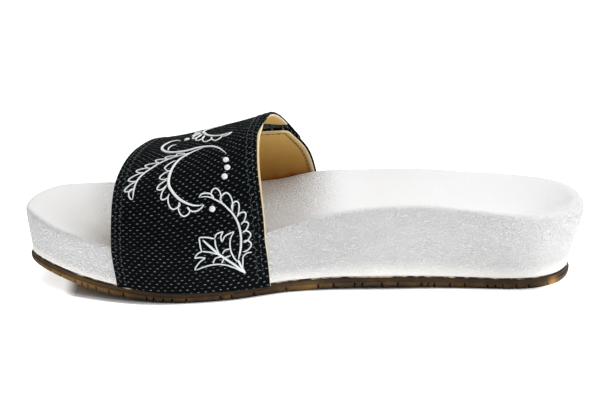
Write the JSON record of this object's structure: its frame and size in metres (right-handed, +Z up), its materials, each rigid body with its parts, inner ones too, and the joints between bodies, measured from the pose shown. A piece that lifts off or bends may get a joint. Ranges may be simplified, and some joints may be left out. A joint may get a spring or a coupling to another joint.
{
  "type": "slide sandal",
  "caption": "Open slide sandal for a right foot: contoured wrapped footbed on a thin lugged rubber outsole, broad woven strap over the forefoot with a side hook-and-loop closure.",
  "frame": {"origin": "on the floor under the middle of the sandal's box", "axes": "+X towards the heel, -X the toe, -Y the medial side of the right foot, +Y the lateral side, +Z up"},
  "size_m": [0.26, 0.1004, 0.0766],
  "materials": {
    "brown_rubber": "moulded, satin",
    "white_grained_leather": "pebble grain, low sheen",
    "black_woven_cloth": "coarse weave with light flecks, white embroidered scroll outside, tan leather inside",
    "black_hook_tape": "matt hook tape"
  },
  "bodies": {
    "root": {"outsole": "brown_rubber", "footbed": "white_grained_leather", "upper_strap": "black_woven_cloth", "hook_tape": "black_hook_tape"}
  },
  "joints": []
}
